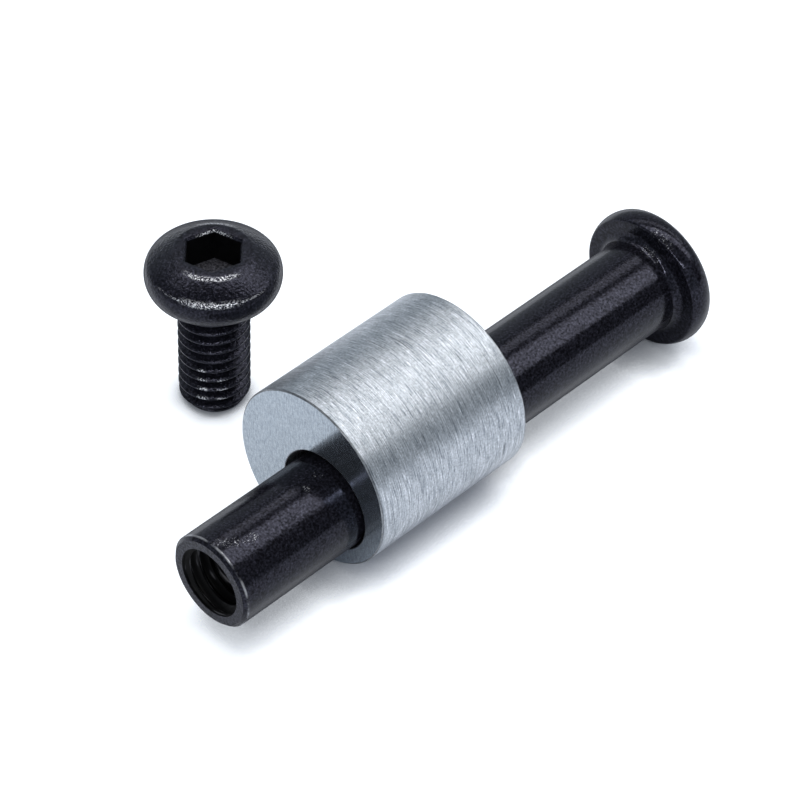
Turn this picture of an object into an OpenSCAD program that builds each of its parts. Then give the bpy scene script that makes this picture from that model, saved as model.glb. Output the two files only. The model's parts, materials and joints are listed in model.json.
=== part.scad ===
// Hinge pin set: a headed pin with a tapped end, an off-centre sleeve that turns on it, and the
// button-head screw that closes the tapped end. Millimetres, +Z up, the floor at Z = 0.
// X runs along the pin from its open end to its head. The origin is below the middle of the set.

/* [Hinge pin] */
// Diameter of the barrel
pin_d = 8; // [7.5:0.1:8.5]
// Length of the barrel under the head
pin_l = 49; // [42:0.5:80]
// Bevel round the open end
pin_bevel = 0.3; // [0.1:0.05:0.7]
// Depth of the tapping bore at its full diameter
tap_l = 16; // [12:0.5:30]
// Width of the relief turned into the head's underside, round the barrel
relief_w = 0.35; // [0.2:0.05:0.5]
// Depth of that relief
relief_depth = 0.3; // [0.1:0.05:0.6]

/* [Thread] */
// Nominal diameter of the thread that the pin and the screw share
thread_d = 6; // [5:0.1:6.4]
// Pitch of the thread
thread_pitch = 1; // [0.7:0.05:1.25]
// How much smaller the screw's thread is than its nominal diameter
thread_play = 0.1; // [0:0.05:0.3]
// Height of the screw's thread, from its roots to its tops
thread_h = 0.6; // [0.3:0.05:0.7]
// Width of a thread's flat top
thread_top = 0.12; // [0.05:0.01:0.2]
// Width of the countersink at the mouth of the tapping bore
tap_bevel = 0.4; // [0.2:0.05:0.6]

/* [Pin head] */
// Diameter of the pin's head
pin_head_d = 12.1; // [11.2:0.1:14]
// Height of the pin's head
pin_head_h = 3.4; // [3:0.1:4.5]
// Height at which the pin's head is widest
pin_rim_h = 1.05; // [0.8:0.05:1.4]
// Diameter of the flat on top of the pin's head
pin_crown_d = 6.6; // [6.2:0.1:8]
// Width of the pin head's hexagon socket, across its flats
pin_key = 5; // [3:0.1:5.2]

/* [Sleeve] */
// Outside diameter of the sleeve
sleeve_d = 15.5; // [15:0.1:20]
// Length of the sleeve
sleeve_l = 16; // [8:0.5:24]
// How much wider the sleeve's bore is than the pin
bore_play = 0.7; // [0.2:0.05:0.9]
// How far the bore lies from the middle of the sleeve
bore_offset = 2; // [1:0.1:2.6]
// Bevel on the sleeve's outer edges
sleeve_bevel = 0.2; // [0.1:0.05:0.5]
// Bevel on the edges of the bore
bore_bevel = 0.1; // [0.05:0.05:0.3]
// Distance from the pin's open end to the sleeve
sleeve_from_end = 12.25; // [0:0.05:16]

/* [Screw] */
// Length of the screw under its head
screw_l = 12; // [8:0.5:15]
// Length of the shank that is left plain under the head
screw_plain = 0.6; // [0.4:0.1:3]
// Length of the screw's bevelled tip
screw_tip_l = 0.9; // [0.3:0.1:1.5]
// Depth of the bevel on the screw's tip
screw_tip_depth = 0.65; // [0.3:0.05:0.9]
// Diameter of the screw's head
screw_head_d = 11.1; // [10:0.1:13]
// Height of the screw's head
screw_head_h = 3.5; // [3:0.1:4.5]
// Height at which the screw's head is widest
screw_rim_h = 1.2; // [0.8:0.05:1.4]
// Diameter of the flat on top of the screw's head
screw_crown_d = 6.2; // [5.8:0.1:7]
// Width of the screw's hexagon socket, across its flats
screw_key = 4.3; // [3:0.1:4.8]
// Clear room between the turning sleeve and the screw that stands beside it
screw_room = 4.2; // [2:0.1:30]
// How far the screw stands before the middle of the sleeve, towards the pin's open end
screw_lead = 1.2; // [-10:0.1:10]
// Turn of the screw about its own axis
screw_turn = 44; // [0:1:60]

/* [Heads and sockets] */
// Radius of the rounded rim of a head
head_rim_r = 2; // [1.5:0.1:2.3]
// Angle of the rim where the dome starts, up from where the head is widest
head_dome_from = 30; // [20:1:40]
// Depth of a hexagon socket
socket_l = 2.1; // [1.6:0.1:2.5]
// Width of the bevel round a hexagon socket
socket_bevel = 0.2; // [0.1:0.05:0.3]
// Ledge left round the drill point in a hexagon socket
socket_ledge = 0.1; // [0.05:0.05:0.4]

/* [Hidden] */
$fn = 96;

// Full angle of a drill's point
drill_angle = 118;
// Overshoot of a cutting tool past the face that it enters
cut = 0.5;
// Gap left under the pin where it lies in the bore
lie_gap = 0.02;

pin_r = pin_d / 2;
tap_r = (thread_d - thread_pitch) / 2;
tap_mouth_r = tap_r + tap_bevel;
pin_head_r = pin_head_d / 2;
sleeve_r = sleeve_d / 2;
bore_r = (pin_d + bore_play) / 2;
screw_r = (thread_d - thread_play) / 2;
screw_head_r = screw_head_d / 2;
thread_turns = floor((screw_l - screw_plain) / thread_pitch);

// The pin lies low in its bore, and the sleeve rolls until the pin's head reaches the floor.
pin_sink = bore_r - pin_r - lie_gap;
head_drop = (sleeve_r - pin_sink - pin_head_r) / bore_offset;
rest_angle = asin(max(-1, min(1, head_drop)));
pin_z = max(pin_head_r, sleeve_r - pin_sink - bore_offset);
bore_z = pin_z + pin_sink;
sleeve_y = bore_offset * cos(rest_angle);
sleeve_rise = bore_offset * sin(rest_angle);

// The screw stands beside the sleeve, clear of the circle that the sleeve sweeps.
screw_along = sleeve_from_end + sleeve_l / 2 - screw_lead;
screw_aside = bore_offset + sleeve_r + screw_room + screw_head_r;

// The origin stands below the middle of the whole set.
low_y = min(-pin_head_r, sleeve_y - sleeve_r);
high_y = screw_aside + screw_head_r;
middle_x = (pin_l + pin_head_h) / 2;
middle_y = (low_y + high_y) / 2;

// Distance from a hexagon's middle to its corners, for a width across its flats
function hex_corner(key) = key / 2 / cos(30);

// Height of a drill point's cone, for a bore of radius r
function point_h(r) = r / tan(drill_angle / 2);

// Half outline of a button head: flat seat, round rim that is widest at rim_h, and a dome with a flat crown
module button_outline(r, h, crown_r, rim_h) {
    edge_r = r - head_rim_r * (1 - cos(head_dome_from));
    edge_h = rim_h + head_rim_r * sin(head_dome_from);
    dome_low = (edge_r * edge_r + edge_h * edge_h - crown_r * crown_r - h * h) / (2 * (edge_h - h));
    dome_r = norm([edge_r, edge_h - dome_low]);
    intersection() {
        union() {
            translate([0, -cut]) square([r - head_rim_r / 2, h + 2 * cut]);
            translate([r - head_rim_r, rim_h]) circle(head_rim_r);
        }
        translate([0, dome_low]) circle(dome_r);
        square([r + cut, h]);
    }
}

// Hexagon socket sunk from Z = 0, with a bevelled mouth and the cone that the drill leaves
module hex_socket(key) {
    drill_r = key / 2 - socket_ledge;
    mouth_r = hex_corner(key) + socket_bevel;
    translate([0, 0, -socket_l]) cylinder(h = socket_l + cut, r = hex_corner(key), $fn = 6);
    translate([0, 0, -socket_l - point_h(drill_r)]) cylinder(h = point_h(drill_r), r1 = 0, r2 = drill_r);
    translate([0, 0, drill_r - mouth_r]) cylinder(h = mouth_r - drill_r, r1 = drill_r, r2 = mouth_r);
}

// Half outline of the pin: bevelled open end, barrel, and a head with a relief round the barrel
module pin_outline() {
    difference() {
        union() {
            polygon([
                [0, 0],
                [pin_r - pin_bevel, 0],
                [pin_r, pin_bevel],
                [pin_r, pin_l],
                [0, pin_l],
            ]);
            translate([0, pin_l]) button_outline(pin_head_r, pin_head_h, pin_crown_d / 2, pin_rim_h);
        }
        translate([pin_r, pin_l - cut]) square([relief_w, cut + relief_depth]);
    }
}

// Section of the groove between two turns of the screw's thread, cut inwards from X = 0
module thread_groove() {
    half_w = (thread_pitch - thread_top) / 2;
    polygon([[-thread_h, 0], [0, -half_w], [cut, -half_w], [cut, half_w], [0, half_w]]);
}

// Half outline of the screw: bevelled tip, shank with each turn of its thread as a ring, and head
module screw_outline() {
    difference() {
        polygon([
            [0, 0],
            [screw_r - screw_tip_depth, 0],
            [screw_r, screw_tip_l],
            [screw_r, screw_l],
            [0, screw_l],
        ]);
        for (turn = [1 : thread_turns])
            translate([screw_r, (turn - 0.5) * thread_pitch]) thread_groove();
    }
    translate([0, screw_l]) button_outline(screw_head_r, screw_head_h, screw_crown_d / 2, screw_rim_h);
}

// Tapping bore from Z = 0 upwards, with a countersunk mouth and a drill point
module tapping_bore() {
    translate([0, 0, -cut]) cylinder(h = tap_l + cut, r = tap_r);
    translate([0, 0, tap_l]) cylinder(h = point_h(tap_r), r1 = tap_r, r2 = 0);
    cylinder(h = tap_bevel, r1 = tap_mouth_r, r2 = tap_r);
}

// Straight bore through a length, bevelled at both ends
module bevelled_bore(r, l, bevel) {
    translate([0, 0, -cut]) cylinder(h = l + 2 * cut, r = r);
    cylinder(h = bevel, r1 = r + bevel, r2 = r);
    translate([0, 0, l - bevel]) cylinder(h = bevel, r1 = r, r2 = r + bevel);
}

// Half outline of a solid roller with bevelled edges
module roller_outline(r, l, bevel) {
    polygon([
        [0, 0],
        [r - bevel, 0],
        [r, bevel],
        [r, l - bevel],
        [r - bevel, l],
        [0, l],
    ]);
}

// Places a piece that is drawn upright on the pin's axis, lying along +X at a height and a distance along it
module lying(along, height) {
    translate([along - middle_x, -middle_y, height]) rotate([0, 90, 0]) children();
}

module hinge_pin() {
    color("#26262b") lying(0, pin_z) {
        difference() {
            rotate_extrude() pin_outline();
            tapping_bore();
            translate([0, 0, pin_l + pin_head_h]) hex_socket(pin_key);
        }
    }
}

module eccentric_sleeve() {
    color("#b4bcc4") lying(sleeve_from_end, bore_z) {
        difference() {
            translate([-sleeve_rise, sleeve_y, 0]) rotate_extrude()
                roller_outline(sleeve_r, sleeve_l, sleeve_bevel);
            bevelled_bore(bore_r, sleeve_l, bore_bevel);
        }
    }
}

module button_screw() {
    color("#1b1b1f")
    translate([screw_along - middle_x, screw_aside - middle_y, 0])
    rotate([0, 0, screw_turn]) {
        difference() {
            rotate_extrude() screw_outline();
            translate([0, 0, screw_l + screw_head_h]) hex_socket(screw_key);
        }
    }
}

hinge_pin();
eccentric_sleeve();
button_screw();
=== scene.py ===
"""Looks of the hinge pin set: a black pin with a tapped end, a turned off-centre sleeve and a screw."""

import json
import math

import bmesh
import bpy
from mathutils import Matrix, Vector


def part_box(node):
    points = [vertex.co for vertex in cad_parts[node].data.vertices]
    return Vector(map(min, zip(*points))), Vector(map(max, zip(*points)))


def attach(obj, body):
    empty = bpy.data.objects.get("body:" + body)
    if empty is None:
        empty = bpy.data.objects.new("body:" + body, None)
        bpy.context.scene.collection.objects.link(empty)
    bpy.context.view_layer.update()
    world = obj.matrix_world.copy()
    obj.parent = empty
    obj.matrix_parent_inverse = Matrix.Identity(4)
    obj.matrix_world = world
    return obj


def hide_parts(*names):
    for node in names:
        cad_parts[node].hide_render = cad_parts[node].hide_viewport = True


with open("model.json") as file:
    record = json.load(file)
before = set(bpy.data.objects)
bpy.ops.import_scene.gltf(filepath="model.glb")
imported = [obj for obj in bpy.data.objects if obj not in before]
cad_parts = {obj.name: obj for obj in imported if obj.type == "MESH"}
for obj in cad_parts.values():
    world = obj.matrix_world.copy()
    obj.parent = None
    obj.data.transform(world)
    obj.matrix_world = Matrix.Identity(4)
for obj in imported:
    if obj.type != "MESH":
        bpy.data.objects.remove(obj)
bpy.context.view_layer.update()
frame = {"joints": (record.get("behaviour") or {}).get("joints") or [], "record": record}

# One millimetre in metres
MM = 0.001

# Sizes that part.scad holds too, in millimetres, with angles in radians
PIN_R = 4.0
PIN_L = 49.0
PIN_BEVEL = 0.3
TAP_R = 2.5
TAP_L = 16.0
TAP_BEVEL = 0.4
PIN_HEAD_R = 6.05
PIN_HEAD_H = 3.4
PIN_RIM_H = 1.05
PIN_CROWN_R = 3.3
PIN_KEY = 5.0
SLEEVE_R = 7.75
SLEEVE_L = 16.0
BORE_R = 4.35
BORE_BEVEL = 0.1
SCREW_R = 2.95
SCREW_L = 12.0
SCREW_TIP_L = 0.9
SCREW_TIP_DEPTH = 0.65
SCREW_HEAD_R = 5.55
SCREW_HEAD_H = 3.5
SCREW_RIM_H = 1.2
SCREW_CROWN_R = 3.1
SCREW_KEY = 4.3
SCREW_TURN = math.radians(44)
HEAD_RIM_R = 2.0
HEAD_DOME_FROM = math.radians(30)
SOCKET_L = 2.1
SOCKET_LEDGE = 0.1
DRILL_SLOPE = 1 / math.tan(math.radians(59))
PITCH = 1.0

# Edges and rounds that only the scene has, in millimetres
SLEEVE_BEVEL = 0.1
CREASE_R = 0.9
NECK_R = 0.7
SEAT_EDGE_R = 0.2
# Distance of a support ring from an edge, in millimetres, and its most as a share of a stretch
SUPPORT = 0.02
SUPPORT_SHARE = 0.3

# Threads, in millimetres: depth, where each fades out, and the turn at which the screw's begins
THREAD_DEPTH = 0.58
THREAD_FADE = 0.9
THREAD_END = 0.1
THREAD_START = math.radians(180)
TAP_FADE_FROM = 13.5
TAP_FADE = 1.0
# Shares of half a pitch that a thread's root and flank take, and how much of the flank is straight
ROOT_W = 0.14
FLANK_W = 0.70
FLANK_STRAIGHT = 0.55
# Places of a thread's rows within one pitch
THREAD_PHASES = (0.0, 0.05, 0.12, 0.22, 0.32, 0.42, 0.5, 0.58, 0.68, 0.78, 0.88, 0.95)
# Gaps that keep a thread's rows off the faces before and behind them, in millimetres
ROWS_FROM = 0.02
ROWS_TO = 0.05

# The tapped mouth, in millimetres: its crests' play, its countersink and its edge
CREST_PLAY = 0.02
MOUTH_GROW = 0.06
MOUTH_LAND = 0.25
MOUTH_EDGE = 0.08
# First ring of the drill's point, as a share of the bore's radius
POINT_SHARE = 0.05
# First ring of the screw's tip, in millimetres
TIP_MIDDLE = 0.2

# Sockets, in millimetres: how far the mouth's rings stand out and lie below the top, the small rounds
# at the foot, and the depth of the screw's
SOCKET_MOUTH = ((0.20, 0.0), (0.185, 0.006), (0.015, 0.19), (0.0, 0.21), (0.0, 0.25))
SOCKET_HEEL = 0.05
SOCKET_FOOT_R = 0.012
DRILL_EDGE = 0.01
SCREW_SOCKET_L = 3.0
# Slope of the floor in the screw's socket, and the steps of a socket's cone
SOCKET_DISH = 0.12
CONE_STEPS = 12
# Rings of a socket down to the end of its mouth, and down to the foot of its walls
SOCKET_EDGE = len(SOCKET_MOUTH)
SOCKET_FOOT = SOCKET_EDGE + 2

# Columns round a turned piece, a multiple of six so that the hexagons' corners fall on columns
COLUMNS = 192
# Angle at which the first column of a lying piece stands, and the angle from which an edge is sharp
FIRST_COLUMN = math.radians(30)
SHARP = math.radians(32)
# Points closer than this are one, and edges shorter than this are dropped, in metres
MERGE = 2e-7
SLIVER = 1e-8

# Worn places of the pin, also painted glints: a spot from the open end and the pin's axis, and its size,
# in millimetres
SCUFFS_AND_GLINTS = (
    ((0.7, -0.15, 4.0), 0.45),
    ((1.25, -0.68, 3.94), 0.5),
    ((1.85, -1.0, 3.87), 0.45),
    ((2.6, -1.4, 3.75), 0.4),
    ((3.2, -1.47, 3.72), 0.55),
    ((9.6, -0.7, 3.94), 0.38),
    ((11.2, -0.3, 3.99), 0.42),
    ((48.6, -0.4, 4.18), 0.45),
    ((48.6, -1.1, 4.06), 0.5),
    ((48.6, -1.8, 3.81), 0.4),
    ((49.4, -0.8, 5.69), 0.5),
    ((49.4, -1.6, 5.53), 0.55),
    ((49.35, -2.35, 5.25), 0.45),
)
# Worn places and painted glints of the screw, on its head's crease, round its socket and on its thread's
# crests:
# height, half width, distance in front of the axis and to the right of it, and reach, in millimetres
SCREW_WEAR_AND_GLINTS = (
    (14.22, 0.26, 5.25, 0.0, 2.7),
    (14.22, 0.08, 5.25, 0.0, 5.0),
    (15.38, 0.11, 3.4, 0.0, 2.6),
    (15.36, 0.11, -2.6, 0.0, 1.8),
    (2.0, 0.16, 2.81, -0.85, 0.6),
    (2.0, 0.16, 2.83, 0.78, 0.65),
    (3.0, 0.15, 2.81, -0.85, 0.55),
    (3.0, 0.15, 2.83, 0.78, 0.55),
    (4.0, 0.13, 2.81, -0.85, 0.5),
    (4.0, 0.13, 2.83, 0.78, 0.5),
    (5.0, 0.12, 2.80, -0.9, 0.45),
)
# Share of a worn place or painted glint over which it is full
SCUFF_CORE = 0.3
RING_CORE = 0.4
REACH_CORE = 0.5
# The worn line round the pin's mouth, which is also a painted highlight on its bevel's edge, in
# millimetres
# from that edge: where it starts, is full and ends
WORN_AND_HIGHLIGHT_LINE = (-0.09, -0.01, 0.02, 0.14)
WORN_AND_GLINT_STEEL = (0.62, 0.63, 0.66, 1)
WORN_AND_GLINT_ROUGHNESS = 0.42

# Scales of the noises along X, Y and Z, in cells to the metre, and the turn of the hatch lines
PATCH_SCALE = (420, 420, 420)
SPECK_SCALE = (5200, 5200, 5200)
COARSE_SCALE = (2300, 2300, 2300)
BROKEN_SCALE = (900, 700, 700)
PIN_FLAKE_SCALE = (5600, 9000, 9000)
SCREW_FLAKE_SCALE = (7000, 7000, 9000)
SHADE_NOISE_SCALE = (1800, 1800, 1800)
BORE_RING_SCALE = (4200, 320, 320)
FINE_SCALE = (12500, 750, 750)
WIDE_SCALE = (4200, 180, 180)
SCRATCH_SCALE = (8000, 210, 210)
GRAIN_SCALE = (6500, 6500, 6500)
HATCH_SCALE = (200, 6500, 260)
CLOUD_SCALE = (1500, 7000, 1500)
HATCH_TURN = (math.radians(38), 0, 0)

# The range that a noise mostly keeps to
NOISE = (0.3, 0.7)
# A noise's range, and what that range is mapped to
BROKEN_LINE = (0.45, 0.62, 0.0, 0.5)
PIN_FLAKES = (0.56, 0.70, 0.0, 0.8)
SCREW_FLAKES = (0.47, 0.60, 0.0, 1.0)
HOLLOWS = (0.67, 0.75, 1.0, 0.45)

# Blackened steel: its blacks, the colour of its shine, and how both grow with the grain
PIN_BLACK = (0.007, 0.007, 0.010)
MOUTH_BLACK = (0.018, 0.018, 0.023)
SCREW_BLACK = (0.005, 0.005, 0.0075)
# The socket's floor is ten times lighter than the screw's black: painted light for its lit floor
SOCKET_FLOOR_PAINTED_LIGHT = (0.05, 0.05, 0.058)
BLACK_SHINE = (0.89, 0.905, 1.20)
SPECKS = ((0.36, 0.4), (0.50, 1.0), (0.62, 1.6), (0.72, 3.0))
GLINTS = ((0.32, 0.3), (0.50, 1.0), (0.68, 1.7))
BLACK_IOR = 1.28
BLACK_BUMP = 0.6
# How far its roughness strays in patches, and the range of Layer Weight's Facing over which it dulls
PATCHY = (-0.03, 0.05)
DULL_FACING = (0.55, 0.95)

# The bore's and the socket's dull black, a painted shade for the dark inside them, and the fine lighter
# rings in the bore
PAINTED_SHADE_BLACKS = ((0.3, (0.0005, 0.0005, 0.0007)), (0.7, (0.002, 0.002, 0.0025)))
BORE_RINGS = (
    (0.50, (0.0006, 0.0006, 0.0008)),
    (0.60, (0.003, 0.003, 0.0037)),
    (0.66, (0.05, 0.05, 0.056)),
    (0.74, (0.16, 0.16, 0.17)),
)
BORE_GLOSS = (0.45, 0.6)
BORE_SPECULAR = 0.12

# Turned steel: its lines, grain, roughness and bumps, which are a strength and a depth in metres
STEEL_LINES = (
    (0.28, (0.188, 0.212, 0.246)),
    (0.44, (0.405, 0.434, 0.470)),
    (0.56, (0.468, 0.497, 0.535)),
    (0.72, (0.722, 0.747, 0.793)),
)
STEEL_GRAIN = (0.74, 1.26)
STEEL_GLOSS = (0.38, 0.48)
WIDE_BUMP = (0.12, 0.00002)
FINE_BUMP = (0.6, 0.00002)
HOLLOW_BUMP = (0.4, 0.00003)
# How far its lines stretch a reflection, and that stretch's turn from the tangent, in full turns
STEEL_ANISOTROPY = 0.72
STEEL_TURN = 0.25
# Painted shade on the sleeve's bevels: share of its colour left there, and where that fades behind them,
# in millimetres
BEVEL_PAINTED_SHADE = 0.45
EDGE_FADE = (0.01, 0.06)

# The sleeve's end faces
FACE_CLOUD = (
    (0.3, (0.262, 0.301, 0.350)),
    (0.45, (0.354, 0.401, 0.450)),
    (0.7, (0.444, 0.491, 0.539)),
)
FACE_GRAIN = (0.84, 1.16)
FACE_GLOSS = (0.12, 0.20)
FACE_BUMP = (0.3, 0.00001)
FACE_METAL = 0.93

# The floor: its size in metres, its colour, which only shows in its shade, as a painted blue tint of it,
# and its glow to the camera and to metal
FLOOR_W = 6.0
FLOOR_COLOUR = (0.385, 0.405, 0.455, 1)
FLOOR_ROUGHNESS = 0.9
GLOW_COLOUR = (0.95, 0.98, 1.0, 1)
FLOOR_WHITE = 0.9
FLOOR_GLOW = 0.66
# Its painted contact shade, which dims the glow by ambient occlusion: reach in metres, and how open a
# place is where the glow starts and is full
SHADE_REACH = 0.004
SHADE_SAMPLES = 4
OPEN_TO_CAMERA = (0.46, 0.74)
OPEN_TO_METAL = (0.5, 1.0)

# The camera: place in metres, angles in degrees, lens in millimetres, and directions over the floor
CAMERA_AT = (-0.15562, -0.14883, 0.20621)
CAMERA_ELEVATION = 43.555
CAMERA_HEADING = 42.949
CAMERA_ROLL = 2.059
CAMERA_LENS = 164.39
CAMERA_SENSOR = 36.0
CAMERA_CLIP = 0.01
TO_CAMERA = Vector((-0.722, -0.692, 0))
TO_RIGHT = Vector((0.692, -0.722, 0))

# Softboxes: place towards the camera and to its right, size, and radiance, and the height of all of them
SOFTBOXES = (
    ("softbox_middle", (-0.115, 0.12), (1.4, 0.24), 3.6),
    ("softbox_back", (-0.45, 0.06), (1.3, 0.16), 1.9),
    ("softbox_front", (0.62, 0.0), (0.9, 0.05), 22.0),
)
LAMP_H = 0.6

# The light tent: its colour, its directions, and how its walls and ceiling brighten along them
TENT_COLOUR = (0.85, 0.94, 1.02, 1)
TENT_FRONT = (0.60, -0.80, 0)
TENT_ASIDE = (0.80, 0.60, 0)
TENT_UP = (0, 0, 1)
TENT_SIDES = (0.10, 0.28, 0.06, 0.55)
TENT_BACK = (-0.1, 0.2, 0.32, 0.06)
TENT_CEILING = (0.62, 0.74, 1.0, 0.15)

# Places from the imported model, in metres
MOUNTS = {mount["name"]: mount for mount in frame["record"]["mounts"]}
PIN_AXIS = MOUNTS["pin_thread"]["pos_m"][1:]
OUTSIDE_AXIS = MOUNTS["sleeve_outside"]["pos_m"][1:]
BORE_AXIS = frame["joints"][0]["pos_m"][1:]
SCREW_AXIS = MOUNTS["screw_shank"]["pos_m"][:2]
PIN_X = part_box("hinge_pin")[0].x
SLEEVE_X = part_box("eccentric_sleeve")[0].x


def even(r, t):
    """A ring with the same radius and place along the axis in every column."""
    return [(r, t)] * (COLUMNS + 1)


def arc(r, t, radius, start, end, steps):
    """Rings along an arc of the outline round the point (r, t), from one angle to another in degrees."""
    rings = []
    for step in range(steps + 1):
        angle = math.radians(start + (end - start) * step / steps)
        rings.append(even(r + radius * math.cos(angle), t + radius * math.sin(angle)))
    return rings


def line(r_from, t_from, r_to, t_to, steps):
    """Rings along a straight stretch of the outline, with supports close to both ends."""
    length = math.hypot(r_to - r_from, t_to - t_from)
    inset = min(SUPPORT / length, SUPPORT_SHARE)
    parts = [0.0, inset]
    parts += [step / steps for step in range(1, steps)]
    parts += [1 - inset, 1.0]
    rings = []
    for part in parts:
        rings.append(even(r_from + (r_to - r_from) * part, t_from + (t_to - t_from) * part))
    return rings


def smooth(part):
    """Eases a share between 0 and 1."""
    return part * part * (3 - 2 * part)


def fade(t, start, end):
    """Falls smoothly from 1 at start to 0 at end."""
    return 1 - smooth(min(max((t - start) / (end - start), 0), 1))


def groove(phase):
    """Depth of a thread at a phase of its pitch, from 0 on the crest to 1 in the root."""
    away = abs(2 * (phase % 1) - 1)
    flank = min(max((away - ROOT_W) / FLANK_W, 0), 1)
    return 1 - FLANK_STRAIGHT * flank - (1 - FLANK_STRAIGHT) * smooth(flank)


def thread_rows(low, high, radius):
    """Rows that follow a right-handed helix between two places along the axis."""
    rows = []
    for turn in range(math.floor(low / PITCH) - 1, math.ceil(high / PITCH) + 1):
        for phase in THREAD_PHASES:
            row = []
            for column in range(COLUMNS + 1):
                part = column / COLUMNS
                t = min(max(PITCH * (turn + phase + part), low), high)
                row.append((radius(groove(t / PITCH - part), t), t))
            rows.append(row)
    return rows


def hexagon(key, grow=0.0):
    """Radius of a hexagon in every column, for its width across the flats."""
    flat = key / 2 + grow
    radii = []
    for column in range(COLUMNS + 1):
        turn = (360 * column / COLUMNS) % 60 - 30
        radii.append(flat / math.cos(math.radians(turn)))
    return radii


def seat_edge(r, rim_h):
    """Radius at which a head's flat seat ends and the small round to its rim begins."""
    return r - HEAD_RIM_R + math.sqrt((HEAD_RIM_R - SEAT_EDGE_R) ** 2 - (rim_h - SEAT_EDGE_R) ** 2)


def head_rings(r, h, crown_r, rim_h, seat):
    """Rings of a button head from its seat's edge over the round rim and the dome to the flat crown."""
    mid_r = r - HEAD_RIM_R
    edge_r = mid_r + HEAD_RIM_R * math.cos(HEAD_DOME_FROM)
    edge_h = rim_h + HEAD_RIM_R * math.sin(HEAD_DOME_FROM)
    low = (edge_r**2 + edge_h**2 - crown_r**2 - h * h) / (2 * (edge_h - h))
    dome_r = math.hypot(edge_r, edge_h - low)
    apart = math.hypot(mid_r, rim_h - low)
    reach = ((dome_r - CREASE_R) ** 2 - (HEAD_RIM_R - CREASE_R) ** 2 + apart**2) / (2 * apart)
    aside = math.sqrt((dome_r - CREASE_R) ** 2 - reach**2)
    crease_r = (mid_r * reach + (rim_h - low) * aside) / apart
    crease_h = low + ((rim_h - low) * reach - mid_r * aside) / apart
    rim_from = math.degrees(math.atan2(SEAT_EDGE_R - rim_h, seat_edge(r, rim_h) - mid_r))
    rim_to = math.degrees(math.atan2(crease_h - rim_h, crease_r - mid_r))
    dome_from = math.degrees(math.atan2(crease_h - low, crease_r))
    dome_to = math.degrees(math.atan2(h - low, crown_r))
    rings = arc(seat_edge(r, rim_h), seat + SEAT_EDGE_R, SEAT_EDGE_R, -90, rim_from, steps=6)
    rings += arc(mid_r, seat + rim_h, HEAD_RIM_R, rim_from, rim_to, steps=16)
    rings += arc(crease_r, seat + crease_h, CREASE_R, rim_to, dome_from, steps=8)
    rings += arc(0, seat + low, dome_r, dome_from, dome_to, steps=24)
    return rings


def socket_rings(key, top, depth, slope):
    """Rings of a hexagon socket from its bevelled mouth down to the cone in its floor."""
    drill_r = key / 2 - SOCKET_LEDGE
    wall = hexagon(key)
    floor = top - depth
    rings = []
    for grow, drop in SOCKET_MOUTH:
        rings.append([(r, top - drop) for r in hexagon(key, grow)])
    rings += [[(r, floor + SOCKET_HEEL) for r in wall]]
    rings += [[(r, floor + SOCKET_FOOT_R) for r in wall]]
    rings += [[(r - SOCKET_FOOT_R, floor) for r in wall]]
    rings += [even(drill_r + DRILL_EDGE, floor)]
    for step in range(CONE_STEPS):
        r = drill_r * (1 - step / CONE_STEPS) - DRILL_EDGE
        rings.append(even(r, floor - (drill_r - r) * slope))
    rings.append(even(0, floor - drill_r * slope))
    return rings


def lying(rings, axis, along):
    """Places rings round a line along X, in metres."""
    placed = []
    for ring in rings:
        points = []
        for column, (r, t) in enumerate(ring):
            angle = FIRST_COLUMN + 2 * math.pi * column / COLUMNS
            y = axis[0] + r * MM * math.cos(angle)
            z = axis[1] + r * MM * math.sin(angle)
            points.append((along + t * MM, y, z))
        placed.append(points)
    return placed


def upright(rings, axis, start):
    """Places rings round a vertical line, in metres."""
    placed = []
    for ring in rings:
        points = []
        for column, (r, t) in enumerate(ring):
            angle = start + 2 * math.pi * column / COLUMNS
            x = axis[0] + r * MM * math.cos(angle)
            y = axis[1] + r * MM * math.sin(angle)
            points.append((x, y, t * MM))
        placed.append(points)
    return placed


def skin(name, bands, materials, closed=False):
    """One closed mesh through placed rings. A band is a material's number and its rings."""
    rings = []
    numbers = []
    for number, band in bands:
        rings += band
        numbers += [number] * len(band)
    width = COLUMNS + 1
    points = [point for ring in rings for point in ring]
    faces = []
    face_numbers = []
    last = len(rings) if closed else len(rings) - 1
    for row in range(last):
        after = (row + 1) % len(rings)
        for column in range(COLUMNS):
            a = row * width + column
            b = after * width + column
            faces.append((a, a + 1, b + 1, b))
            face_numbers.append(numbers[after])
    mesh = bpy.data.meshes.new(name)
    mesh.from_pydata(points, [], faces)
    mesh.polygons.foreach_set("material_index", face_numbers)
    shape = bmesh.new()
    shape.from_mesh(mesh)
    bmesh.ops.remove_doubles(shape, verts=shape.verts, dist=MERGE)
    bmesh.ops.dissolve_degenerate(shape, edges=shape.edges, dist=SLIVER)
    bmesh.ops.recalc_face_normals(shape, faces=shape.faces)
    shape.to_mesh(mesh)
    shape.free()
    mesh.shade_smooth()
    mesh.set_sharp_from_angle(angle=SHARP)
    for material in materials:
        mesh.materials.append(material)
    piece = bpy.data.objects.new(name, mesh)
    bpy.context.scene.collection.objects.link(piece)
    return piece


def new_material(name):
    """A material with its node tree and its main shader."""
    material = bpy.data.materials.new(name)
    material.use_nodes = True
    tree = material.node_tree
    return material, tree, tree.nodes["Principled BSDF"]


def add(tree, kind, **values):
    """A node with the given socket values."""
    made = tree.nodes.new(kind)
    for socket, value in values.items():
        made.inputs[socket.replace("_", " ")].default_value = value
    return made


def own_place(tree):
    """Place in the piece's own coordinates."""
    return tree.nodes.new("ShaderNodeTexCoord").outputs["Object"]


def own_axis(tree, axis):
    """Place along one axis of the piece's own coordinates."""
    split = tree.nodes.new("ShaderNodeSeparateXYZ")
    tree.links.new(own_place(tree), split.inputs["Vector"])
    return split.outputs[axis]


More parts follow.
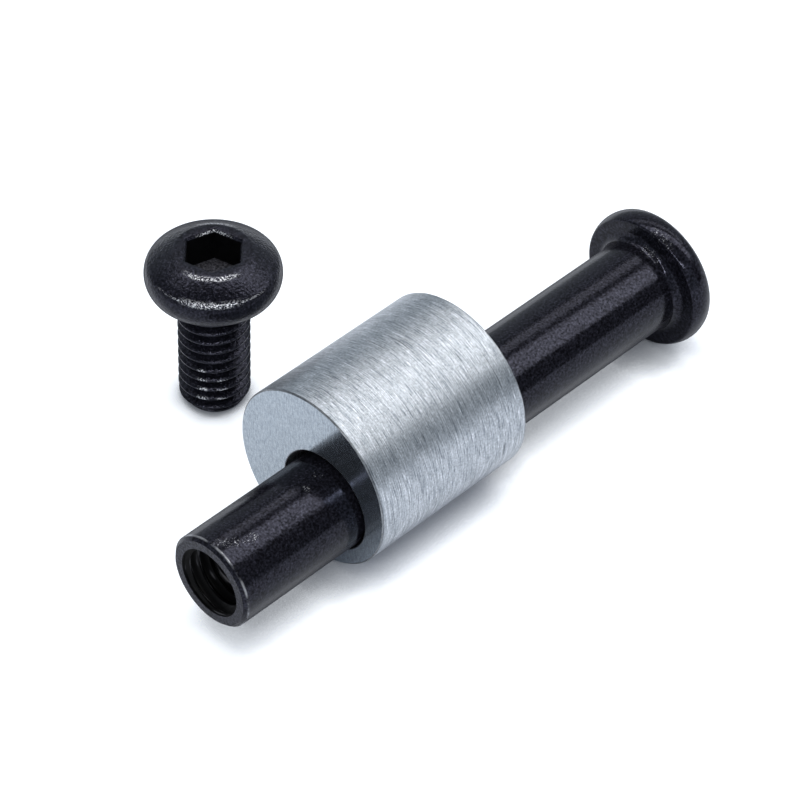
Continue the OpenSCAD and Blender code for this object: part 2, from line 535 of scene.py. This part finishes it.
def stretched_noise(tree, scale, turn=(0, 0, 0), detail=3.0, roughness=0.6):
    """Noise in the piece's own coordinates, with its own scale along each axis."""
    mapping = add(tree, "ShaderNodeMapping", Scale=scale, Rotation=turn)
    noise = add(tree, "ShaderNodeTexNoise", Scale=1.0, Detail=detail, Roughness=roughness)
    tree.links.new(own_place(tree), mapping.inputs["Vector"])
    tree.links.new(mapping.outputs["Vector"], noise.inputs["Vector"])
    return noise.outputs["Fac"]


def ramp(tree, source, stops):
    """A colour ramp on a value. A stop is a place and a colour."""
    made = tree.nodes.new("ShaderNodeValToRGB")
    elements = made.color_ramp.elements
    while len(elements) < len(stops):
        elements.new(0.5)
    for element, (place, colour) in zip(elements, stops):
        element.position = place
        element.color = (*colour, 1)
    tree.links.new(source, made.inputs["Fac"])
    return made.outputs["Color"]


def shades(stops, colour):
    """Stops of a ramp from places and factors of one colour."""
    return [(place, tuple(factor * value for value in colour)) for place, factor in stops]


def spread(tree, source, low, high, to_low, to_high):
    """Maps a value from one range to another."""
    made = tree.nodes.new("ShaderNodeMapRange")
    made.inputs["From Min"].default_value = low
    made.inputs["From Max"].default_value = high
    made.inputs["To Min"].default_value = to_low
    made.inputs["To Max"].default_value = to_high
    tree.links.new(source, made.inputs["Value"])
    return made.outputs["Result"]


def bump(tree, height, strength, distance, normal=None):
    """A bump on a height, over an earlier bump where one is given."""
    made = add(tree, "ShaderNodeBump", Strength=strength, Distance=distance)
    tree.links.new(height, made.inputs["Height"])
    if normal is not None:
        tree.links.new(normal, made.inputs["Normal"])
    return made.outputs["Normal"]


def combine(tree, operation, first, second):
    """Two values through one operation."""
    made = tree.nodes.new("ShaderNodeMath")
    made.operation = operation
    tree.links.new(first, made.inputs[0])
    tree.links.new(second, made.inputs[1])
    return made.outputs["Value"]


def scaled(tree, colour, factor):
    """A colour times a value."""
    made = tree.nodes.new("ShaderNodeVectorMath")
    made.operation = "SCALE"
    tree.links.new(colour, made.inputs[0])
    tree.links.new(factor, made.inputs["Scale"])
    return made.outputs["Vector"]


def near(tree, place, inside, outside):
    """Falls from 1 to 0 with the distance from a place in the piece's own coordinates."""
    apart = tree.nodes.new("ShaderNodeVectorMath")
    apart.operation = "DISTANCE"
    apart.inputs[1].default_value = place
    tree.links.new(own_place(tree), apart.inputs[0])
    return spread(tree, apart.outputs["Value"], inside, outside, 1.0, 0.0)


def black_steel(name, roughness, relief, tint, shine=1.0, dull_to=0.65, wear_and_glints=None):
    """Blackened steel: near black, with a fine grain that glints and, where given, worn places that also
    paint glints.
    """
    material, tree, shader = new_material(name)
    patches = stretched_noise(tree, PATCH_SCALE, detail=4.0)
    specks = stretched_noise(tree, SPECK_SCALE, detail=2.0)
    coarse = stretched_noise(tree, COARSE_SCALE)
    colour = ramp(tree, specks, shades(SPECKS, tint))
    glints = ramp(tree, specks, shades(GLINTS, [shine * value for value in BLACK_SHINE]))
    tree.links.new(glints, shader.inputs["Specular Tint"])
    gloss = spread(tree, patches, *NOISE, roughness + PATCHY[0], roughness + PATCHY[1])
    edge_on = add(tree, "ShaderNodeLayerWeight", Blend=0.5)
    dull = spread(tree, edge_on.outputs["Facing"], *DULL_FACING, 0.0, dull_to)
    gloss = combine(tree, "MAXIMUM", gloss, dull)
    if wear_and_glints is not None:
        worn_and_glinting = wear_and_glints(tree)
        mix = tree.nodes.new("ShaderNodeMix")
        mix.data_type = "RGBA"
        tree.links.new(worn_and_glinting, mix.inputs["Factor"])
        tree.links.new(colour, mix.inputs["A"])
        mix.inputs["B"].default_value = WORN_AND_GLINT_STEEL
        colour = mix.outputs["Result"]
        tree.links.new(worn_and_glinting, shader.inputs["Metallic"])
        gloss = combine(tree, "MAXIMUM", gloss, spread(tree, worn_and_glinting, 0.0, 1.0, 0.0, WORN_AND_GLINT_ROUGHNESS))
    tree.links.new(colour, shader.inputs["Base Color"])
    tree.links.new(gloss, shader.inputs["Roughness"])
    first = bump(tree, coarse, BLACK_BUMP, relief)
    tree.links.new(bump(tree, specks, BLACK_BUMP, relief, first), shader.inputs["Normal"])
    shader.inputs["IOR"].default_value = BLACK_IOR
    return material


def pin_wear_and_glints(tree):
    """Worn places and painted glints of the pin: a thin broken line round the edge of its bevel, and
    small scuffs.
    """
    place = own_axis(tree, "X")
    edge = PIN_X + PIN_BEVEL * MM
    starts, full_from, full_to, ends = (edge + offset * MM for offset in WORN_AND_HIGHLIGHT_LINE)
    before = spread(tree, place, starts, full_from, 0.0, 1.0)
    behind = spread(tree, place, full_to, ends, 1.0, 0.0)
    broken = spread(tree, stretched_noise(tree, BROKEN_SCALE, detail=4.0), *BROKEN_LINE)
    worn_and_glinting = combine(tree, "MULTIPLY", combine(tree, "MULTIPLY", before, behind), broken)
    flakes = spread(tree, stretched_noise(tree, PIN_FLAKE_SCALE), *PIN_FLAKES)
    for (along, aside, up), size in SCUFFS_AND_GLINTS:
        spot = (PIN_X + along * MM, PIN_AXIS[0] + aside * MM, PIN_AXIS[1] + up * MM)
        patch = near(tree, spot, SCUFF_CORE * size * MM, size * MM)
        worn_and_glinting = combine(tree, "MAXIMUM", worn_and_glinting, combine(tree, "MULTIPLY", flakes, patch))
    return worn_and_glinting


def screw_wear_and_glints(tree):
    """Worn places and painted glints of the screw: bright flakes on its crease, round its socket and on
    its thread.
    """
    rise = own_axis(tree, "Z")
    flakes = spread(tree, stretched_noise(tree, SCREW_FLAKE_SCALE), *SCREW_FLAKES)
    worn_and_glinting = None
    for height, half, front, right, reach in SCREW_WEAR_AND_GLINTS:
        core = RING_CORE * half
        low = spread(tree, rise, (height - half) * MM, (height - core) * MM, 0.0, 1.0)
        high = spread(tree, rise, (height + core) * MM, (height + half) * MM, 1.0, 0.0)
        spot = Vector((*SCREW_AXIS, height * MM)) + front * MM * TO_CAMERA + right * MM * TO_RIGHT
        ring = combine(tree, "MULTIPLY", low, high)
        ring = combine(tree, "MULTIPLY", ring, near(tree, spot, REACH_CORE * reach * MM, reach * MM))
        ring = combine(tree, "MULTIPLY", ring, flakes)
        worn_and_glinting = ring if worn_and_glinting is None else combine(tree, "MAXIMUM", worn_and_glinting, ring)
    return worn_and_glinting


def recess_black_painted_shade(name, marked):
    """The tapped bore and the socket's walls: near black and dull, a painted shade, with fine light
    rings where marked.
    """
    material, tree, shader = new_material(name)
    shade_noise = stretched_noise(tree, SHADE_NOISE_SCALE)
    colour = ramp(tree, shade_noise, PAINTED_SHADE_BLACKS)
    if marked:
        colour = ramp(tree, stretched_noise(tree, BORE_RING_SCALE, detail=2.0), BORE_RINGS)
    tree.links.new(colour, shader.inputs["Base Color"])
    tree.links.new(spread(tree, shade_noise, *NOISE, *BORE_GLOSS), shader.inputs["Roughness"])
    shader.inputs["Specular IOR Level"].default_value = BORE_SPECULAR
    return material


def turned_steel(name):
    """Bright turned steel: fine lines round the axis, which spread its reflections along it, and painted
    shade on its bevels.
    """
    material, tree, shader = new_material(name)
    fine = stretched_noise(tree, FINE_SCALE, detail=1.5, roughness=0.7)
    wide = stretched_noise(tree, WIDE_SCALE, detail=2.0)
    scratches = stretched_noise(tree, SCRATCH_SCALE, detail=1.0)
    grain = stretched_noise(tree, GRAIN_SCALE, detail=2.0)
    hollow = spread(tree, scratches, *HOLLOWS)
    shade = combine(tree, "MULTIPLY", hollow, spread(tree, grain, *NOISE, *STEEL_GRAIN))
    place = own_axis(tree, "X")
    near_x = SLEEVE_X + SLEEVE_BEVEL * MM
    far_x = SLEEVE_X + (SLEEVE_L - SLEEVE_BEVEL) * MM
    fade_from, fade_to = (offset * MM for offset in EDGE_FADE)
    # Painted shade: the colour is darker on the bevels, a dark line round both rims
    near_rim_shade = spread(tree, place, near_x + fade_from, near_x + fade_to, BEVEL_PAINTED_SHADE, 1.0)
    far_rim_shade = spread(tree, place, far_x - fade_to, far_x - fade_from, 1.0, BEVEL_PAINTED_SHADE)
    shade = combine(tree, "MULTIPLY", shade, combine(tree, "MULTIPLY", near_rim_shade, far_rim_shade))
    lines = ramp(tree, fine, STEEL_LINES)
    tree.links.new(scaled(tree, lines, shade), shader.inputs["Base Color"])
    tree.links.new(spread(tree, wide, *NOISE, *STEEL_GLOSS), shader.inputs["Roughness"])
    first = bump(tree, wide, *WIDE_BUMP)
    second = bump(tree, fine, *FINE_BUMP, first)
    tree.links.new(bump(tree, hollow, *HOLLOW_BUMP, second), shader.inputs["Normal"])
    tangent = tree.nodes.new("ShaderNodeTangent")
    tangent.direction_type = "RADIAL"
    tangent.axis = "X"
    tree.links.new(tangent.outputs["Tangent"], shader.inputs["Tangent"])
    shader.inputs["Metallic"].default_value = 1.0
    shader.inputs["Anisotropic"].default_value = STEEL_ANISOTROPY
    shader.inputs["Anisotropic Rotation"].default_value = STEEL_TURN
    return material


def faced_steel(name):
    """The sleeve's end faces: the same steel, cut flat, with faint straight hatch lines."""
    material, tree, shader = new_material(name)
    hatch = stretched_noise(tree, HATCH_SCALE, turn=HATCH_TURN)
    cloud = stretched_noise(tree, CLOUD_SCALE, turn=HATCH_TURN)
    grain = stretched_noise(tree, GRAIN_SCALE, detail=2.0)
    shade = spread(tree, grain, *NOISE, *FACE_GRAIN)
    tree.links.new(scaled(tree, ramp(tree, cloud, FACE_CLOUD), shade), shader.inputs["Base Color"])
    tree.links.new(spread(tree, hatch, *NOISE, *FACE_GLOSS), shader.inputs["Roughness"])
    tree.links.new(bump(tree, hatch, *FACE_BUMP), shader.inputs["Normal"])
    shader.inputs["Metallic"].default_value = FACE_METAL
    return material


def make_pin():
    """The pin: tapped open end, barrel, and a button head with a small fillet at the barrel."""
    top = PIN_L + PIN_HEAD_H
    crest = TAP_R + CREST_PLAY
    mouth_r = TAP_R + TAP_BEVEL + MOUTH_GROW

    def tapped(depth, t):
        """Radius of the bore for a depth of the thread and a place along it."""
        cut = THREAD_DEPTH * (1 - depth) * fade(t, TAP_FADE_FROM, TAP_FADE_FROM + TAP_FADE)
        return max(crest + cut, mouth_r - max(t - MOUTH_LAND, 0))

    point_t = TAP_L + TAP_R * (1 - POINT_SHARE) * DRILL_SLOPE
    inside = [even(0, TAP_L + TAP_R * DRILL_SLOPE)]
    inside += line(TAP_R * POINT_SHARE, point_t, TAP_R, TAP_L, steps=4)
    inside += thread_rows(ROWS_FROM, TAP_L - ROWS_TO, tapped)[::-1]
    mouth = line(TAP_R + TAP_BEVEL + MOUTH_EDGE, 0.0, PIN_R - PIN_BEVEL, 0.0, steps=3)
    outside = line(PIN_R - PIN_BEVEL, 0.0, PIN_R, PIN_BEVEL, steps=2)
    outside += line(PIN_R, PIN_BEVEL, PIN_R, PIN_L - NECK_R, steps=12)
    outside += arc(PIN_R + NECK_R, PIN_L - NECK_R, NECK_R, 180, 90, steps=12)
    outside += line(PIN_R + NECK_R, PIN_L, seat_edge(PIN_HEAD_R, PIN_RIM_H), PIN_L, steps=3)
    outside += head_rings(PIN_HEAD_R, PIN_HEAD_H, PIN_CROWN_R, PIN_RIM_H, PIN_L)
    outside += socket_rings(PIN_KEY, top, SOCKET_L, DRILL_SLOPE)
    body = black_steel("black_pin_barrel", roughness=0.12, relief=0.00001, tint=PIN_BLACK, wear_and_glints=pin_wear_and_glints)
    face = black_steel("black_pin_mouth", roughness=0.34, relief=0.00004, tint=MOUTH_BLACK)
    # Its bore is near black and dull: a painted shade
    bore = recess_black_painted_shade("black_pin_bore_painted_shade", marked=True)
    bands = [
        (2, lying(inside, PIN_AXIS, PIN_X)),
        (1, lying(mouth, PIN_AXIS, PIN_X)),
        (0, lying(outside, PIN_AXIS, PIN_X)),
    ]
    return skin("pin_dressed", bands, [body, face, bore])


def make_sleeve():
    """The sleeve: a roller turned round one axis and bored round another."""
    bevel = SLEEVE_BEVEL
    far = SLEEVE_L
    near_bore = arc(BORE_R + BORE_BEVEL, BORE_BEVEL, BORE_BEVEL, 180, 270, steps=4)
    far_bore = arc(BORE_R + BORE_BEVEL, far - BORE_BEVEL, BORE_BEVEL, 90, 180, steps=4)
    bore = line(BORE_R, far - BORE_BEVEL, BORE_R, BORE_BEVEL, steps=6)
    near_edge = line(SLEEVE_R - bevel, 0, SLEEVE_R, bevel, steps=2)
    far_edge = line(SLEEVE_R, far - bevel, SLEEVE_R - bevel, far, steps=2)
    outside = line(SLEEVE_R, bevel, SLEEVE_R, far - bevel, steps=8)
    face_bore = BORE_R + BORE_BEVEL + SUPPORT
    face_edge = SLEEVE_R - bevel - SUPPORT
    turned = turned_steel("turned_steel_outside")
    faced = faced_steel("turned_steel_face")
    bands = [
        (0, lying(bore, BORE_AXIS, SLEEVE_X)),
        (0, lying(near_bore, BORE_AXIS, SLEEVE_X)),
        (1, lying([even(face_bore, 0)], BORE_AXIS, SLEEVE_X)),
        (1, lying([even(face_edge, 0)], OUTSIDE_AXIS, SLEEVE_X)),
        (0, lying(near_edge + outside + far_edge, OUTSIDE_AXIS, SLEEVE_X)),
        (1, lying([even(face_edge, far)], OUTSIDE_AXIS, SLEEVE_X)),
        (1, lying([even(face_bore, far)], BORE_AXIS, SLEEVE_X)),
        (0, lying(far_bore, BORE_AXIS, SLEEVE_X)),
    ]
    return skin("sleeve_dressed", bands, [turned, faced], closed=True)


def make_screw():
    """The screw: threaded shank with a bevelled tip, and a button head with a hexagon socket."""
    tip_r = SCREW_R - SCREW_TIP_DEPTH
    start = SCREW_TURN + THREAD_START

    def threaded(depth, t):
        """Radius of the shank for a depth of the thread and a place along it."""
        cut = THREAD_DEPTH * depth * fade(t, SCREW_L - THREAD_FADE, SCREW_L - THREAD_END)
        return min(SCREW_R - cut, tip_r + SCREW_TIP_DEPTH * t / SCREW_TIP_L)

    rings = [even(0, 0)]
    rings += line(TIP_MIDDLE, 0, tip_r - ROWS_FROM, 0, steps=3)
    rings += thread_rows(ROWS_FROM, SCREW_L - ROWS_TO, threaded)
    rings += line(SCREW_R + ROWS_TO, SCREW_L, seat_edge(SCREW_HEAD_R, SCREW_RIM_H), SCREW_L, steps=3)
    rings += head_rings(SCREW_HEAD_R, SCREW_HEAD_H, SCREW_CROWN_R, SCREW_RIM_H, SCREW_L)
    socket = socket_rings(SCREW_KEY, SCREW_L + SCREW_HEAD_H, SCREW_SOCKET_L, SOCKET_DISH)
    black = black_steel(
        "black_screw_steel",
        roughness=0.13,
        relief=0.00007,
        tint=SCREW_BLACK,
        shine=1.2,
        dull_to=0.85,
        wear_and_glints=screw_wear_and_glints,
    )
    # The socket's floor, lighter than the rest of the screw: painted light
    floor = black_steel("black_screw_floor_painted_light", roughness=0.3, relief=0.00003, tint=SOCKET_FLOOR_PAINTED_LIGHT)
    # The socket's walls are near black and dull: a painted shade
    dull = recess_black_painted_shade("black_screw_socket_painted_shade", marked=False)
    bands = [
        (0, upright(rings + socket[:SOCKET_EDGE], SCREW_AXIS, start)),
        (1, upright(socket[SOCKET_EDGE:SOCKET_FOOT], SCREW_AXIS, start)),
        (2, upright(socket[SOCKET_FOOT:], SCREW_AXIS, start)),
    ]
    return skin("screw_dressed", bands, [black, dull, floor])


def make_floor():
    """A plain white floor that keeps the shadows, with a painted contact shade that dims its glow near
    the pieces.
    """
    bpy.ops.mesh.primitive_plane_add(size=FLOOR_W)
    floor = bpy.context.object
    floor.name = "studio_floor"
    material, tree, shader = new_material("studio_white")
    shader.inputs["Base Color"].default_value = FLOOR_COLOUR
    shader.inputs["Roughness"].default_value = FLOOR_ROUGHNESS
    shader.inputs["Specular IOR Level"].default_value = 0.0
    path = tree.nodes.new("ShaderNodeLightPath").outputs
    mirrored = combine(tree, "MAXIMUM", path["Is Glossy Ray"], path["Is Transmission Ray"])
    # Painted contact shade: ambient occlusion dims the floor's glow near the pieces, to the camera and
    # in reflections
    shade = add(tree, "ShaderNodeAmbientOcclusion", Distance=SHADE_REACH)
    shade.samples = SHADE_SAMPLES
    white = spread(tree, shade.outputs["AO"], *OPEN_TO_CAMERA, 0.0, FLOOR_WHITE)
    metal_glow_painted_shade = spread(tree, shade.outputs["AO"], *OPEN_TO_METAL, 0.0, FLOOR_GLOW)
    direct = combine(tree, "MULTIPLY", path["Is Camera Ray"], white)
    glow = combine(tree, "ADD", direct, combine(tree, "MULTIPLY", mirrored, metal_glow_painted_shade))
    shader.inputs["Emission Color"].default_value = GLOW_COLOUR
    tree.links.new(glow, shader.inputs["Emission Strength"])
    floor.data.materials.append(material)


def softbox(name, place, size, radiance):
    """A rectangular lamp overhead that faces the set."""
    lamp = bpy.data.lights.new(name, "AREA")
    lamp.shape = "RECTANGLE"
    lamp.size = size[0]
    lamp.size_y = size[1]
    lamp.energy = radiance * math.pi * size[0] * size[1]
    made = bpy.data.objects.new(name, lamp)
    spot = place[0] * TO_CAMERA + place[1] * TO_RIGHT + Vector((0, 0, LAMP_H))
    back = spot.normalized()
    across = (TO_RIGHT - TO_RIGHT.dot(back) * back).normalized()
    turn = Matrix((across, back.cross(across), back)).transposed().to_4x4()
    made.matrix_world = Matrix.Translation(spot) @ turn
    bpy.context.scene.collection.objects.link(made)


def facing(tree, direction):
    """How far the world's direction points along the given one."""
    made = tree.nodes.new("ShaderNodeVectorMath")
    made.operation = "DOT_PRODUCT"
    made.inputs[1].default_value = direction
    where = tree.nodes.new("ShaderNodeTexCoord")
    tree.links.new(where.outputs["Generated"], made.inputs[0])
    return made.outputs["Value"]


def make_light():
    """Three softboxes across the view with dark gaps between, and a light tent open at the front."""
    for name, place, size, radiance in SOFTBOXES:
        softbox(name, place, size, radiance)
    world = bpy.data.worlds.new("light_tent")
    world.use_nodes = True
    bpy.context.scene.world = world
    tree = world.node_tree
    offside = tree.nodes.new("ShaderNodeMath")
    offside.operation = "ABSOLUTE"
    tree.links.new(facing(tree, TENT_ASIDE), offside.inputs[0])
    sides = spread(tree, offside.outputs["Value"], *TENT_SIDES)
    back = spread(tree, facing(tree, TENT_FRONT), *TENT_BACK)
    ceiling = spread(tree, facing(tree, TENT_UP), *TENT_CEILING)
    strength = combine(tree, "MULTIPLY", combine(tree, "MAXIMUM", sides, back), ceiling)
    background = tree.nodes["Background"]
    background.inputs["Color"].default_value = TENT_COLOUR
    tree.links.new(strength, background.inputs["Strength"])


def make_camera():
    """The camera at the photograph's angle, for an image of 800 by 800."""
    elevation = math.radians(CAMERA_ELEVATION)
    heading = math.radians(CAMERA_HEADING)
    roll = math.radians(CAMERA_ROLL)
    forward = Vector((
        math.cos(heading) * math.cos(elevation),
        math.sin(heading) * math.cos(elevation),
        -math.sin(elevation),
    ))
    level = Vector((math.sin(heading), -math.cos(heading), 0))
    rise = level.cross(forward)
    right = math.cos(roll) * level + math.sin(roll) * rise
    up = -math.sin(roll) * level + math.cos(roll) * rise
    camera = bpy.data.cameras.new("photo_camera")
    camera.sensor_width = CAMERA_SENSOR
    camera.lens = CAMERA_LENS
    camera.clip_start = CAMERA_CLIP
    made = bpy.data.objects.new("photo_camera", camera)
    turn = Matrix((right, up, -forward)).transposed().to_4x4()
    made.matrix_world = Matrix.Translation(CAMERA_AT) @ turn
    bpy.context.scene.collection.objects.link(made)
    bpy.context.scene.camera = made


make_camera()
make_floor()
make_light()
bpy.context.scene.view_settings.view_transform = "Standard"

for piece, node, body, slot in (
    (make_pin(), "hinge_pin", "pin", "black_pin"),
    (make_sleeve(), "eccentric_sleeve", "sleeve", "turned_steel"),
    (make_screw(), "button_screw", "pin", "black_screw"),
):
    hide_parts(node)
    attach(piece, body)
